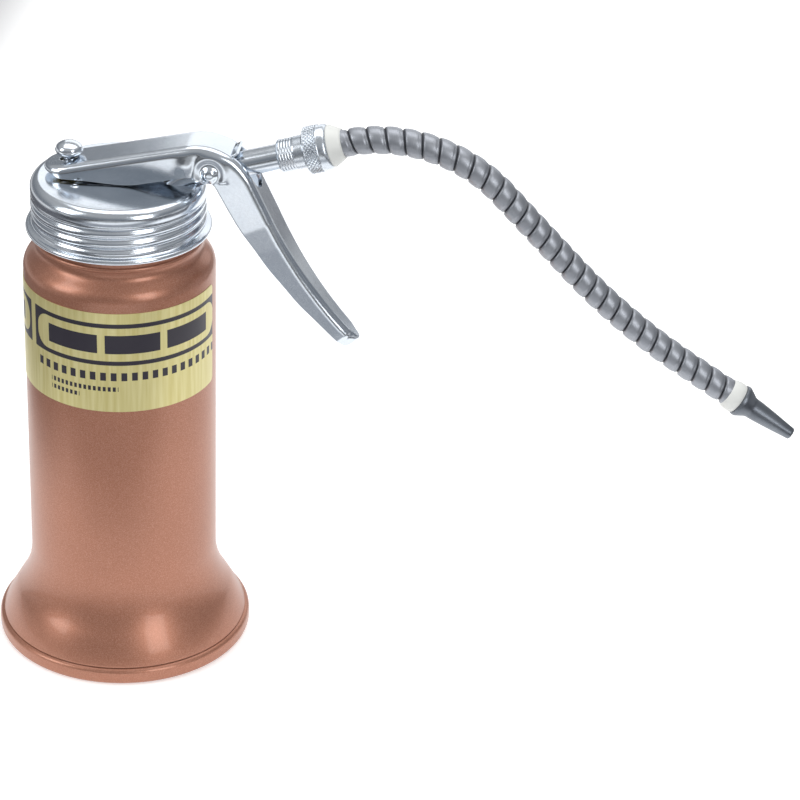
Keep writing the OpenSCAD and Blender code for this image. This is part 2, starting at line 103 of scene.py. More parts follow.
def make(name, verts, faces, material, body, replaced=(), sharp=38, slot=None):
    """A mesh piece in millimetres, shaded smooth apart from edges sharper than the angle given."""
    me = bpy.data.meshes.new(name)
    me.from_pydata([(x * MM, y * MM, z * MM) for x, y, z in verts], [], faces)
    me.validate()
    me.polygons.foreach_set("use_smooth", [True] * len(me.polygons))
    me.set_sharp_from_angle(angle=math.radians(sharp))
    me.materials.append(material)
    ob = bpy.data.objects.new(name, me)
    bpy.context.scene.collection.objects.link(ob)
    if body:
        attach(ob, body)
    if replaced:
        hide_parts(*replaced)
    return ob


class Axis:
    """A place for turned pieces: u runs along the axis, up and side are square to it."""

    def __init__(self, origin, along, up, side):
        self.o, self.a, self.u, self.s = map(Vector, (origin, along, up, side))

    def point(self, u, r, th):
        p = self.o + self.a * u + (self.u * math.cos(th) + self.s * math.sin(th)) * r
        return tuple(p)


CAN = Axis((0, 0, 0), (0, 0, 1), (1, 0, 0), (0, 1, 0))


def turned(name, profile, axis, material, body, n=160, closed=False, shape=None, **kw):
    """Lathe: profile is (u, r) points; shape(u, r, angle) may push the radius in or out."""
    verts, faces = [], []
    for u, r in profile:
        for i in range(n):
            th = TAU * i / n
            verts.append(axis.point(u, shape(u, r, th) if shape else r, th))
    rows = len(profile)
    last = rows if closed else rows - 1
    for j in range(last):
        a, b = j * n, ((j + 1) % rows) * n
        for i in range(n):
            k = (i + 1) % n
            faces.append((a + i, a + k, b + k, b + i))
    return make(name, verts, faces, material, body, **kw)


# ---------- materials ----------


def new_material(name):
    m = bpy.data.materials.new(name)
    m.use_nodes = True
    nt = m.node_tree
    return m, nt, nt.nodes["Principled BSDF"]


def node(nt, kind, **values):
    n = nt.nodes.new(kind)
    for k, v in values.items():
        if k in n.inputs.keys():
            n.inputs[k].default_value = v
        else:
            setattr(n, k, v)
    return n


def ramp(nt, source, stops):
    r = nt.nodes.new("ShaderNodeValToRGB")
    cr = r.color_ramp
    while len(cr.elements) > 1:
        cr.elements.remove(cr.elements[-1])
    cr.elements[0].position, cr.elements[0].color = stops[0][0], (*stops[0][1], 1)
    for pos, col in stops[1:]:
        cr.elements.new(pos).color = (*col, 1)
    nt.links.new(source, r.inputs["Fac"])
    return r.outputs["Color"]


def span(nt, source, lo, hi):
    r = node(nt, "ShaderNodeMapRange")
    r.inputs["To Min"].default_value = lo
    r.inputs["To Max"].default_value = hi
    nt.links.new(source, r.inputs["Value"])
    return r.outputs["Result"]


def noise(nt, coord, scale, detail=3.0, stretch=None):
    if stretch:
        mp = nt.nodes.new("ShaderNodeMapping")
        mp.inputs["Scale"].default_value = stretch
        nt.links.new(coord, mp.inputs["Vector"])
        coord = mp.outputs["Vector"]
    n = node(nt, "ShaderNodeTexNoise", Scale=scale, Detail=detail)
    nt.links.new(coord, n.inputs["Vector"])
    return n.outputs["Fac"]


def bump(nt, bsdf, height, strength, distance, under=None):
    b = node(nt, "ShaderNodeBump", Strength=strength, Distance=distance)
    nt.links.new(height, b.inputs["Height"])
    if under:
        nt.links.new(under, b.inputs["Normal"])
    nt.links.new(b.outputs["Normal"], bsdf.inputs["Normal"])
    return b.outputs["Normal"]


def multiplied(nt, a, b):
    mix = node(nt, "ShaderNodeMix", data_type="RGBA", blend_type="MULTIPLY")
    mix.inputs["Factor"].default_value = 1.0
    nt.links.new(a, mix.inputs[6])
    nt.links.new(b, mix.inputs[7])
    return mix.outputs[2]


def finish_material(
    name, stops, rough, metallic, fine, broad=60, coat=0.0, depth=2e-5, stretch=None
):
    """Base colour from broad mottling, roughness and bump from fine grain."""
    m, nt, bsdf = new_material(name)
    co = nt.nodes.new("ShaderNodeTexCoord").outputs["Object"]
    mottle = noise(nt, co, broad, 4)
    grain = noise(nt, co, fine, 2, stretch)
    nt.links.new(ramp(nt, mottle, stops), bsdf.inputs["Base Color"])
    nt.links.new(span(nt, grain, *rough), bsdf.inputs["Roughness"])
    bsdf.inputs["Metallic"].default_value = metallic
    if coat:
        bsdf.inputs["Coat Weight"].default_value = coat
        bsdf.inputs["Coat Roughness"].default_value = 0.12
    bump(nt, bsdf, grain, 0.25, depth)
    return m


def copper_paint():
    """Copper enamel with metal flake under a clear coat."""
    m, nt, bsdf = new_material("copper_paint")
    co = nt.nodes.new("ShaderNodeTexCoord").outputs["Object"]
    flake = node(nt, "ShaderNodeTexVoronoi", Scale=5600.0)
    nt.links.new(co, flake.inputs["Vector"])
    value = nt.nodes.new("ShaderNodeRGBToBW")
    nt.links.new(flake.outputs["Color"], value.inputs["Color"])
    base = ramp(
        nt,
        value.outputs["Val"],
        [(0.1, (0.39, 0.165, 0.100)), (0.5, (0.44, 0.190, 0.118)), (0.9, (0.53, 0.260, 0.180))],
    )
    tone = ramp(nt, noise(nt, co, 35, 3), [(0.3, (0.93, 0.93, 0.93)), (0.7, (1, 1, 1))])
    nt.links.new(multiplied(nt, base, tone), bsdf.inputs["Base Color"])
    nt.links.new(span(nt, value.outputs["Val"], 0.33, 0.45), bsdf.inputs["Roughness"])
    bsdf.inputs["Metallic"].default_value = 0.62
    bsdf.inputs["Coat Weight"].default_value = 0.35
    bsdf.inputs["Coat Roughness"].default_value = 0.10
    peel = noise(nt, co, 420, 2)
    under = bump(nt, bsdf, value.outputs["Val"], 0.12, 2e-5)
    bump(nt, bsdf, peel, 0.12, 4e-5, under)
    return m


def groove_metal(name, groove_shade, light, rough):
    """Wound strip: darker in the grooves by painted shade, with fine drawn lines round the turns."""
    m, nt, bsdf = new_material(name)
    co = nt.nodes.new("ShaderNodeTexCoord").outputs["Object"]
    height = node(nt, "ShaderNodeAttribute", attribute_name="strip_height").outputs["Fac"]
    lines = node(nt, "ShaderNodeAttribute", attribute_name="strip_run").outputs["Fac"]
    drawn = node(nt, "ShaderNodeTexNoise", Scale=1.0, Detail=2.0, noise_dimensions="1D")
    nt.links.new(lines, drawn.inputs["W"])
    grit = noise(nt, co, 900, 4)
    # painted shade: the colour goes near black towards the groove floors, by strip height
    base = ramp(nt, height, [(0.0, groove_shade), (0.55, tuple(c * 0.8 for c in light)), (0.9, light)])
    tone = ramp(nt, drawn.outputs["Fac"], [(0.35, (0.78, 0.78, 0.80)), (0.62, (1, 1, 1))])
    nt.links.new(multiplied(nt, base, tone), bsdf.inputs["Base Color"])
    nt.links.new(span(nt, grit, *rough), bsdf.inputs["Roughness"])
    bsdf.inputs["Metallic"].default_value = 0.85
    under = bump(nt, bsdf, drawn.outputs["Fac"], 0.3, 4e-5)
    bump(nt, bsdf, grit, 0.25, 4e-5, under)
    return m


def maths(nt, op, a, b=None, c=None):
    n = nt.nodes.new("ShaderNodeMath")
    n.operation = op
    for i, v in enumerate((a, b, c)):
        if v is None:
            continue
        if isinstance(v, (int, float)):
            n.inputs[i].default_value = v
        else:
            nt.links.new(v, n.inputs[i])
    return n.outputs[0]


def inside(nt, value, lo, hi):
    """1 where lo < value < hi."""
    above = maths(nt, "GREATER_THAN", value, lo)
    return maths(nt, "MULTIPLY", above, maths(nt, "LESS_THAN", value, hi))


def label_foil():
    """Pale gold foil with a dark frame and plain bars where the real one carries words."""
    m, nt, bsdf = new_material("label_foil")
    co = nt.nodes.new("ShaderNodeTexCoord").outputs["Object"]
    xyz = nt.nodes.new("ShaderNodeSeparateXYZ")
    nt.links.new(co, xyz.inputs[0])
    az = maths(nt, "MULTIPLY", maths(nt, "ARCTAN2", xyz.outputs[1], xyz.outputs[0]), 180 / math.pi)
    # run: millimetres round the can from the label's end edge, growing clockwise from above
    turn = maths(nt, "MODULO", maths(nt, "SUBTRACT", 360 - LABEL_AZ, az), 360)
    run = maths(nt, "MULTIPLY", turn, BODY_R * math.pi / 180)
    z = maths(nt, "MULTIPLY", xyz.outputs[2], 1000)

    def beyond(value, centre, half):
        off = maths(nt, "ABSOLUTE", maths(nt, "SUBTRACT", value, centre))
        return maths(nt, "MAXIMUM", maths(nt, "SUBTRACT", off, half), 0)

    def rounded(cx, cz, half_w, half_h, r):
        """1 inside a rectangle with corners of radius r."""
        dx = beyond(run, cx, half_w - r)
        dz = beyond(z, cz, half_h - r)
        squares = maths(nt, "ADD", maths(nt, "MULTIPLY", dx, dx), maths(nt, "MULTIPLY", dz, dz))
        return maths(nt, "LESS_THAN", maths(nt, "SQRT", squares), r)

    def bars(start, pitch, fill, x0, x1, z0, z1):
        """1 on a row of plain bars between x0 and x1."""
        f = maths(nt, "FRACT", maths(nt, "DIVIDE", maths(nt, "SUBTRACT", run, start), pitch))
        b = inside(nt, f, 0.5 - fill / 2, 0.5 + fill / 2)
        field = maths(nt, "MULTIPLY", inside(nt, run, x0, x1), inside(nt, z, z0, z1))
        return maths(nt, "MULTIPLY", b, field)

    ink = None
    frame_z, block_half = 113.9, 28.5
    for centre in (39.5, 110.0):
        edge = rounded(centre, frame_z, 34.0, 6.9, 0.4)
        frame_ink = maths(nt, "SUBTRACT", edge, rounded(centre, frame_z, 32.5, 5.5, 4.6))
        first, last = centre - block_half, centre + block_half
        block = bars(first, 19.0, 0.88, first, last, 110.9, 117.0)
        ink_here = maths(nt, "ADD", frame_ink, block)
        ink = ink_here if ink is None else maths(nt, "ADD", ink, ink_here)
    line_1 = bars(6.0, 3.15, 0.55, 6.0, 72.0, 101.8, 104.5)
    line_2 = bars(40.0, 1.5, 0.6, 44.0, 66.0, 98.2, 99.7)
    line_3 = bars(52.0, 1.5, 0.6, 56.0, 66.0, 95.6, 97.0)
    for extra in (line_1, line_2, line_3):
        ink = maths(nt, "ADD", ink, extra)
    ink = maths(nt, "MINIMUM", ink, 1)
    grain = noise(nt, co, 900, 2, (1, 1, 0.05))
    gold = ramp(nt, grain, [(0.3, (0.66, 0.58, 0.24)), (0.7, (0.78, 0.71, 0.36))])
    mix = node(nt, "ShaderNodeMix", data_type="RGBA")
    nt.links.new(ink, mix.inputs["Factor"])
    nt.links.new(gold, mix.inputs[6])
    mix.inputs[7].default_value = (0.022, 0.018, 0.030, 1)
    nt.links.new(mix.outputs[2], bsdf.inputs["Base Color"])
    nt.links.new(span(nt, ink, 0.45, 0.0), bsdf.inputs["Metallic"])
    nt.links.new(span(nt, grain, 0.28, 0.40), bsdf.inputs["Roughness"])
    bump(nt, bsdf, maths(nt, "ADD", ink, maths(nt, "MULTIPLY", grain, 0.3)), 0.2, 3e-5)
    return m


copper = copper_paint()
foil = label_foil()
zinc = finish_material(
    "zinc_plate",
    [(0.25, (0.60, 0.65, 0.71)), (0.5, (0.68, 0.73, 0.79)), (0.8, (0.74, 0.78, 0.83))],
    (0.13, 0.24), 1.0, 1100, 70,
)
zinc_satin = finish_material(
    "zinc_satin",
    [(0.25, (0.56, 0.61, 0.67)), (0.5, (0.64, 0.69, 0.75)), (0.8, (0.72, 0.76, 0.81))],
    (0.20, 0.34), 1.0, 1400, 90, depth=3e-5,
)
# first colour: painted shade for the groove floors; second: the crests' own colour
hose_metal = groove_metal("hose_strip", (0.045, 0.047, 0.055), (0.40, 0.42, 0.455), (0.36, 0.52))
nozzle_metal = finish_material(
    "nozzle_steel", [(0.3, (0.16, 0.175, 0.20)), (0.7, (0.23, 0.25, 0.28))],
    (0.30, 0.46), 0.9, 1300, 120, depth=4e-5,
)
nylon = finish_material(
    "white_nylon", [(0.3, (0.78, 0.79, 0.76)), (0.7, (0.87, 0.88, 0.85))], (0.35, 0.5), 0.0, 700, 90,
)
brass = finish_material(
    "turned_brass", [(0.3, (0.62, 0.44, 0.16)), (0.7, (0.75, 0.56, 0.24))], (0.22, 0.36), 1.0, 900, 60,
)
casting = finish_material(
    "pump_casting", [(0.3, (0.42, 0.42, 0.41)), (0.7, (0.56, 0.56, 0.55))],
    (0.4, 0.6), 0.9, 700, 80, depth=1e-4,
)
leather = finish_material(
    "oiled_leather", [(0.3, (0.07, 0.035, 0.02)), (0.7, (0.13, 0.07, 0.04))],
    (0.45, 0.65), 0.0, 500, 120, depth=1e-4,
)
cork = finish_material(
    "gasket_fibre", [(0.3, (0.05, 0.035, 0.025)), (0.7, (0.12, 0.08, 0.055))],
    (0.6, 0.8), 0.0, 600, 150, depth=1e-4,
)
packing = finish_material(
    "graphite_packing", [(0.3, (0.02, 0.02, 0.02)), (0.7, (0.05, 0.05, 0.05))], (0.5, 0.7), 0.1, 700, 90,
)
steel = finish_material(
    "spring_steel", [(0.3, (0.50, 0.51, 0.53)), (0.7, (0.62, 0.63, 0.65))], (0.15, 0.28), 1.0, 900, 80,
)
# painted shade: a near-black finish standing for the shade inside a hole
painted_hole_shade = finish_material(
    "painted_bore_shade", [(0.3, (0.01, 0.01, 0.012)), (0.7, (0.02, 0.02, 0.022))], (0.5, 0.7), 0.2, 500, 90,
)

SLOT_LOOK = {
    "copper_paint": copper, "label_foil": foil, "zinc": zinc, "casting": casting, "brass": brass,
    "hose_metal": hose_metal, "nylon": nylon, "leather": leather, "gasket": cork,
    "packing": packing, "steel": steel, "nozzle_metal": nozzle_metal,
}
for part in frame["record"]["subparts"]:
    ob = NODES.get(part["node"])
    if ob is not None:
        for s in ob.material_slots:
            s.material = SLOT_LOOK[part["material_slot"]]


# ---------- can ----------

FLARE_R, FLARE_Z, FLARE_HALF = 28.0, 29.5, 33.7
flare = arc(BODY_R + FLARE_R, FLARE_Z, FLARE_R, 180 + FLARE_HALF, 180, 28)
shoulder = smooth_curve(
    [(29.0, 127.0), (28.86, 128.0), (28.5, 129.1), (27.9, 130.1), (27.1, 131.0),
     (26.2, 131.9), (25.4, 132.8), (25.0, 133.7), (24.92, 134.7)], 4,
)
bead = arc(24.9, 136.4, 0.8, -80, 80, 10)
outer = [(38.25, 5.4), (38.2, 6.0)] + flare + shoulder + bead + [(24.9, 140.0), (24.9, 152.2)]
inner = [(24.1, 152.2), (24.1, 133.0), (28.2, 126.5), (28.2, 29.5)]
inner += arc(BODY_R + FLARE_R, FLARE_Z, FLARE_R + 0.8, 180, 180 + FLARE_HALF, 12)
inner += [(37.4, 5.4)]
turned("can_body", [(z, r) for r, z in outer + inner], CAN, copper, "can", n=256, closed=True,
       replaced=("can_shell",), slot="copper_paint")

ring = [(36.5, 0.25), (36.9, 0.0)] + [(37.6, 0.0)] + arc(38.1, 1.5, 1.5, -90, 0, 8)
ring += [(39.6, 2.4), (39.6, 3.4)] + arc(38.1, 3.7, 1.5, 0, 90, 8)
ring += [(37.8, 5.1), (37.5, 4.6), (36.9, 3.0), (36.5, 1.0)]
turned("base_seam", [(z, r) for r, z in ring], CAN, copper, "can", n=256, closed=True,
       replaced=("base_ring",), slot="copper_paint")


def label_sheet():
    """Foil round the body with rounded corners."""
    rows, corner = 12, 1.6
    z0, z1 = LABEL_Z
    length = math.radians(LABEL_WRAP) * BODY_R
    # columns crowded at both ends so that the corners come out round
    ends = [0.0, 0.03, 0.1, 0.25, 0.5, 0.8, 1.2, 1.6]
    middle = [1.6 + (length - 3.2) * i / 210 for i in range(1, 210)]
    columns = ends + middle + [length - e for e in reversed(ends)]
    n = len(columns) - 1
    verts, faces = [], []
    for r in (BODY_R + 0.14, BODY_R + 0.02):
        for run in columns:
            end = min(run, length - run)
            past = max(0.0, corner - end)
            cut = corner - math.sqrt(max(0.0, corner**2 - past**2))
            a = math.radians(LABEL_AZ) - run / BODY_R
            for j in range(rows + 1):
                z = z0 + cut + (z1 - z0 - 2 * cut) * j / rows
                verts.append((r * math.cos(a), r * math.sin(a), z))
    w = rows + 1
    base = (n + 1) * w
    for i in range(n):
        for j in range(rows):
            k = i * w + j
            faces.append((k, k + 1, k + w + 1, k + w))
            faces.append((base + k, base + k + w, base + k + w + 1, base + k + 1))
        for j in (0, rows):
            k = i * w + j
            rim = (k, k + w, base + k + w, base + k)
            faces.append(rim if j == 0 else rim[::-1])
    for i in (0, n):
        for j in range(rows):
            k = i * w + j
            rim = (k, base + k, base + k + 1, k + 1)
            faces.append(rim if i == 0 else rim[::-1])
    return make("label_sheet", verts, faces, foil, "can", replaced=("label",), slot="label_foil")


label_sheet()

# ---------- cap ----------


def cap_thread(u, r, th):
    """Rolled thread: rounded ridges that run out at both ends."""
    lo, hi = 142.0, 150.3
    start, run_out, groove = 142.6, 0.7, 0.62
    if not lo < u < hi:
        return r
    fade = min(1.0, (u - lo) / run_out) * min(1.0, (hi - u) / run_out)
    phase = (u - start) / THREAD_LEAD - th / TAU
    wave = 0.5 + 0.5 * math.cos(TAU * phase)
    return r - groove * (1 - wave) ** 1.5 * fade


cap = [(25.3, 152.0), (25.3, 140.2), (25.7, 139.3)]
cap += [(26.4, 139.15)] + arc(27.0, 140.05, 0.9, -90, 90, 12)
cap += [(26.5, 141.05), (26.1, 141.4), (26.05, 141.8)]
cap += [(26.3, 142.0 + 0.14 * i) for i in range(61)]
cap += [(26.25, 150.7), (26.2, 151.2), (26.3, 151.5)]
cap += arc(23.4, CAP_TOP - 2.95, 2.9, 12, 90, 16)
cap += [(22.6, CAP_TOP - 0.02), (22.3, CAP_TOP), (16.0, CAP_TOP), (8.0, CAP_TOP), (0.01, CAP_TOP)]
turned("cap_shell", [(z, r) for r, z in cap], CAN, zinc, "cap", n=288, shape=cap_thread,
       replaced=("screw_cap",), slot="zinc", sharp=30)

vent = Axis((-11.1, -9.6, CAP_TOP), (0, 0, 1), (1, 0, 0), (0, 1, 0))
turned("vent_lip", [(-0.3, 1.3), (0.0, 1.25), (0.22, 1.0), (0.28, 0.8), (0.2, 0.6), (-0.3, 0.55)],
       vent, zinc, "cap", n=32, slot="zinc")
# painted shade: a near-black disc at the vent's mouth stands for the shaded hole
turned("vent_hole_shade", [(-0.1, 0.56), (0.03, 0.5), (0.03, 0.01)], vent, painted_hole_shade, "cap", n=24, slot="zinc")

# ---------- rod head ----------

ROD = Axis((ROD_X, 0, 0), (0, 0, 1), (1, 0, 0), (0, 1, 0))
head = [(161.22, 1.75), (161.2, 2.9), (161.35, 3.15), (162.0, 3.75), (162.5, 4.08)]
head += [(z, r) for r, z in arc(3.98, 162.95, 0.22, -60, 70, 6)]
head += [(163.4 + 2.05 * math.sin(math.radians(a)), 4.0 * math.cos(math.radians(a))) for a in range(6, 90, 6)]
head += [(165.46, 0.01)]
turned("rod_button", head, ROD, zinc, "plunger", n=64, replaced=("rod_head",), slot="zinc")

# ---------- return spring ----------

COIL_R, WIRE_R, COILS = 4.7, 0.44, 8


def return_coil():
    """Round-wire spring with closed ends, squeezed between the pump head and the piston."""
    around, steps = 10, 32 * COILS
    rise = SPRING_TOP - SPRING_LOW - 2 * WIRE_R - 0.02
    verts = []
    for i in range(steps + 1):
        a = TAU * COILS * i / steps
        z = SPRING_LOW + WIRE_R + 0.01 + rise * i / steps
        for k in range(around):
            b = TAU * k / around
            r = COIL_R + WIRE_R * math.cos(b)
            verts.append((ROD_X + r * math.cos(a), r * math.sin(a), z + WIRE_R * math.sin(b)))
    faces = [tuple(range(around))[::-1], tuple(steps * around + k for k in range(around))]
    for i in range(steps):
        for k in range(around):
            n = (k + 1) % around
            faces.append((i * around + k, i * around + n, (i + 1) * around + n, (i + 1) * around + k))
    ob = make("return_coil", verts, faces, steel, None, sharp=80)
    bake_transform(ob)
    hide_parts("return_spring")


return_coil()

# ---------- lever ----------

RISE = math.radians(13.77)
BLADE = math.radians(-64.3)
SHEET = 1.25
HALF_W = 7.25
REAR_X = -22.35
ELBOW_R = 17.6
ARM_Z = 163.9
TAN = math.tan(RISE)
corner_x = (157.0 - ARM_Z - math.tan(BLADE) * 42.6) / (TAN - math.tan(BLADE))
corner = Vector((corner_x, ARM_Z + TAN * corner_x))
setback = ELBOW_R * math.tan((RISE - BLADE) / 2)
elbow_in = corner - setback * Vector((math.cos(RISE), math.sin(RISE)))
elbow_c = elbow_in + ELBOW_R * Vector((math.sin(RISE), -math.cos(RISE)))
blade_0 = corner + setback * Vector((math.cos(BLADE), math.sin(BLADE)))
rear = Vector((REAR_X, ARM_Z + TAN * REAR_X))
arm_len = (elbow_in - rear).length
elbow_len = ELBOW_R * (RISE - BLADE)
BLADE_STRAIGHT, BLADE_ARC, BLADE_TURN = 17.0, 44.0, math.radians(18)
back_len = arm_len + elbow_len + BLADE_STRAIGHT + BLADE_ARC


def back(s):
    """Point and heading of the lever's outer face, s millimetres from its rear end."""
    if s <= arm_len:
        return rear + s * Vector((math.cos(RISE), math.sin(RISE))), RISE
    s -= arm_len
    if s <= elbow_len:
        a = RISE - s / ELBOW_R
        return elbow_c + ELBOW_R * Vector((-math.sin(a), math.cos(a))), a
    s -= elbow_len
    if s <= BLADE_STRAIGHT:
        return blade_0 + s * Vector((math.cos(BLADE), math.sin(BLADE))), BLADE
    s -= BLADE_STRAIGHT
    p = blade_0 + BLADE_STRAIGHT * Vector((math.cos(BLADE), math.sin(BLADE)))
    r = BLADE_ARC / BLADE_TURN
    a = BLADE + s / r
    return p + r * Vector((math.sin(a) - math.sin(BLADE), math.cos(BLADE) - math.cos(a))), a


# the flange's free edge, from the rear end round under the arm and down the trigger
EDGE = smooth_curve(
    [(-24.5, 157.0), (-22.3, 157.2), (-20.8, 157.3), (-19.3, 157.1), (-17.8, 156.7), (-16.0, 156.3),
     (-8.8, 156.3), (-2.5, 156.0), (2.5, 155.9), (6.5, 156.3), (9.8, 157.1), (14.9, 158.3),
     (18.5, 159.3), (22.3, 159.9), (24.7, 159.4), (27.0, 158.8), (28.8, 158.6), (30.0, 158.0),
     (31.0, 156.4), (34.2, 150.5), (37.8, 144.3), (42.1, 138.1), (46.3, 131.8), (51.2, 125.6),
     (55.5, 120.2), (60.0, 115.6), (63.3, 112.2), (66.8, 108.6), (70.2, 105.4), (73.6, 102.4)], 5,
)


def depth(p, a):
    """How far the flange runs in from the back at p, square to heading a."""
    m = Vector((math.sin(a), -math.cos(a)))
    t = Vector((math.cos(a), math.sin(a)))
    best = None
    for q0, q1 in zip(EDGE, EDGE[1:]):
        d0, d1 = Vector(q0) - p, Vector(q1) - p
        s0, s1 = d0.dot(t), d1.dot(t)
        if (s0 <= 0) == (s1 <= 0):
            continue
        f = s0 / (s0 - s1)
        d = d0.dot(m) * (1 - f) + d1.dot(m) * f
        if d > 0.3 and (best is None or d < best):
            best = d
    return best


def half_width(p):
    """Half the lever's width where its back is at point p: full on the arm, tapering down the trigger."""
    marks = [(108.0, 4.1), (113.0, 4.75), (123.0, 5.4), (132.0, 6.1), (140.0, 6.8), (147.0, HALF_W)]
    if p[0] < 40 or p[1] > 147:
        return HALF_W
    for (z0, w0), (z1, w1) in zip(marks, marks[1:]):
        if p[1] <= z1:
            f = max(0.0, (p[1] - z0) / (z1 - z0))
            return w0 + (w1 - w0) * f
    return HALF_W


def lever_mesh():
    fold = 2.3
    rows, last_d = [], 1.2
    # stations: along the round rear end by angle, then along the back by length, then a round tip
    stations = [("rear", a) for a in range(0, 90, 6)]
    steps = int((back_len - HALF_W - 0.5) / 0.55)
    stations += [("run", HALF_W + 0.6 + (back_len - HALF_W - 4.7) * i / steps) for i in range(steps + 1)]
    tip_from = back_len - 4.1
    stations += [("tip", a) for a in range(8, 91, 8)] + [("tip", 90)]
    n_flange, n_fold, n_top = 18, 7, 14
    for kind, value in stations:
        if kind == "rear":
            al = math.radians(value)
            s_out = HALF_W * (1 - math.cos(al))
            nx, ny, w = -math.cos(al), math.sin(al), HALF_W * math.sin(al)
        elif kind == "run":
            s_out, nx, ny = value, 0.0, 1.0
            w = half_width(back(s_out)[0])
        else:
            al = math.radians(value)
            s_out, nx, ny = tip_from + 4.0 * math.sin(al), math.sin(al) * 0.9, max(0.05, math.cos(al))
            w = 4.1 * math.cos(al) + 0.02
        p, a = back(min(s_out, back_len))
        t, m = Vector((math.cos(a), math.sin(a))), Vector((math.sin(a), -math.cos(a)))
        d = depth(p, a) if s_out < back_len - 3.5 else None
        if d is None:
            d = last_d * (1 - 0.5 * (1 - math.cos(math.radians(value)))) if kind == "tip" else last_d
        if kind == "tip":
            d = max(1.3, d)
        else:
            last_d = d
        rb = min(fold, 0.8 * d, 0.8 * max(w, 0.6) if kind == "tip" else fold)
        side = []
        for j in range(n_flange):
            f = 1 - j / n_flange
            side.append((0.0, rb + (d - rb) * f))
        for j in range(n_fold + 1):
            b = math.pi / 2 * (1 - j / n_fold)
            side.append((-rb * (1 - math.sin(b)), rb * (1 - math.cos(b))))
        row = []
        for sign in (1, -1):
            pts = []
            for off, dn in side:
                x = p + m * dn + t * (nx * off)
                pts.append((x[0], sign * (w + ny * off), x[1]))
            row.append(pts)
        left, right = row
        a0, a1 = Vector(left[-1]), Vector(right[-1])
        middle = [tuple(a0.lerp(a1, k / n_top)) for k in range(1, n_top)]
        rows.append(left + middle + right[::-1])

    # pressed dimples: a pocket with a raised arch round it
    cx, cz = 28.7, 161.6
    for row in rows:
        for k, (x, y, z) in enumerate(row):
            if abs(y) < HALF_W - 0.9 or not 12 < x < 40:
                continue
            dx, dz = x - cx, z - cz
            r = math.hypot(dx, dz * 0.92)
            push = -1.5 * math.exp(-((r / 2.1) ** 4))
            if dz > -2.5:
                push += 0.35 * math.exp(-(((r - 4.6) / 1.1) ** 2))
            push -= 0.55 * math.exp(-(((x - 21.5) / 2.6) ** 2) - (((z - 163.6) / 3.0) ** 2))
            row[k] = (x, y + math.copysign(push, y), z)

    width = len(rows[0])
    verts = [v for row in rows for v in row]
    faces = []
    for i in range(len(rows) - 1):
        for j in range(width - 1):
            k = i * width + j
            faces.append((k, k + 1, k + width + 1, k + width))
    ob = make("lever_plate", verts, faces, zinc, None)
    me = ob.data
    bm = bmesh.new()
    bm.from_mesh(me)
    bmesh.ops.remove_doubles(bm, verts=bm.verts, dist=0.03 * MM)
    bmesh.ops.recalc_face_normals(bm, faces=bm.faces)
    top = max(bm.faces, key=lambda f: f.calc_center_median().z)
    if top.normal.z < 0:
        bmesh.ops.reverse_faces(bm, faces=bm.faces)
    bm.to_mesh(me)
    bm.free()
    solid = ob.modifiers.new("sheet", "SOLIDIFY")
    solid.thickness, solid.offset, solid.use_even_offset = SHEET * MM, -1, False

    def cutter(name, outline, lo, hi, axis):
        n = len(outline)
        vs = [axis.o + axis.u * x + axis.s * y + axis.a * lo for x, y in outline]
        vs += [axis.o + axis.u * x + axis.s * y + axis.a * hi for x, y in outline]
        fs = [tuple(range(n))[::-1], tuple(range(n, 2 * n))]
        fs += [(i, (i + 1) % n, n + (i + 1) % n, n + i) for i in range(n)]
        return make(name, [tuple(v) for v in vs], fs, zinc, None)

    # oblong rod hole, straight up; slot square to the trigger's face
    up = Axis((-14.8, 0, 160), (0, 0, 1), (1, 0, 0), (0, 1, 0))
    hole = arc(0.6, 0, 2.2, -90, 90, 16) + arc(-0.6, 0, 2.2, 90, 270, 16)
    ca, sa = math.cos(BLADE), math.sin(BLADE)
    out = Axis((blade_0[0], 0, blade_0[1]), (-sa, 0, ca), (ca, 0, sa), (0, 1, 0))
    slot_outline = [(-9.6, 4.65), (-9.6, -4.65)] + arc(-0.45, 0, 4.65, -90, 90, 24)
    cutters = [cutter("cut_rod", hole, -8, 8, up), cutter("cut_slot", slot_outline, -5.5, 6, out)]
    for c in cutters:
        b = ob.modifiers.new(c.name, "BOOLEAN")
        b.operation, b.object, b.solver = "DIFFERENCE", c, "EXACT"
    bev = ob.modifiers.new("soft_edge", "BEVEL")
    bev.width, bev.segments, bev.limit_method, bev.angle_limit = 0.16 * MM, 2, "ANGLE", math.radians(50)
    dg = bpy.context.evaluated_depsgraph_get()
    done = bpy.data.meshes.new_from_object(ob.evaluated_get(dg))
    ob.modifiers.clear()
    ob.data = done
    for c in cutters:
        bpy.data.objects.remove(c)
    done.materials.clear()
    done.materials.append(zinc)
    done.polygons.foreach_set("use_smooth", [True] * len(done.polygons))
    done.set_sharp_from_angle(angle=math.radians(34))
    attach(ob, "lever")
    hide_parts("trigger_lever")
    return ob


lever_mesh()


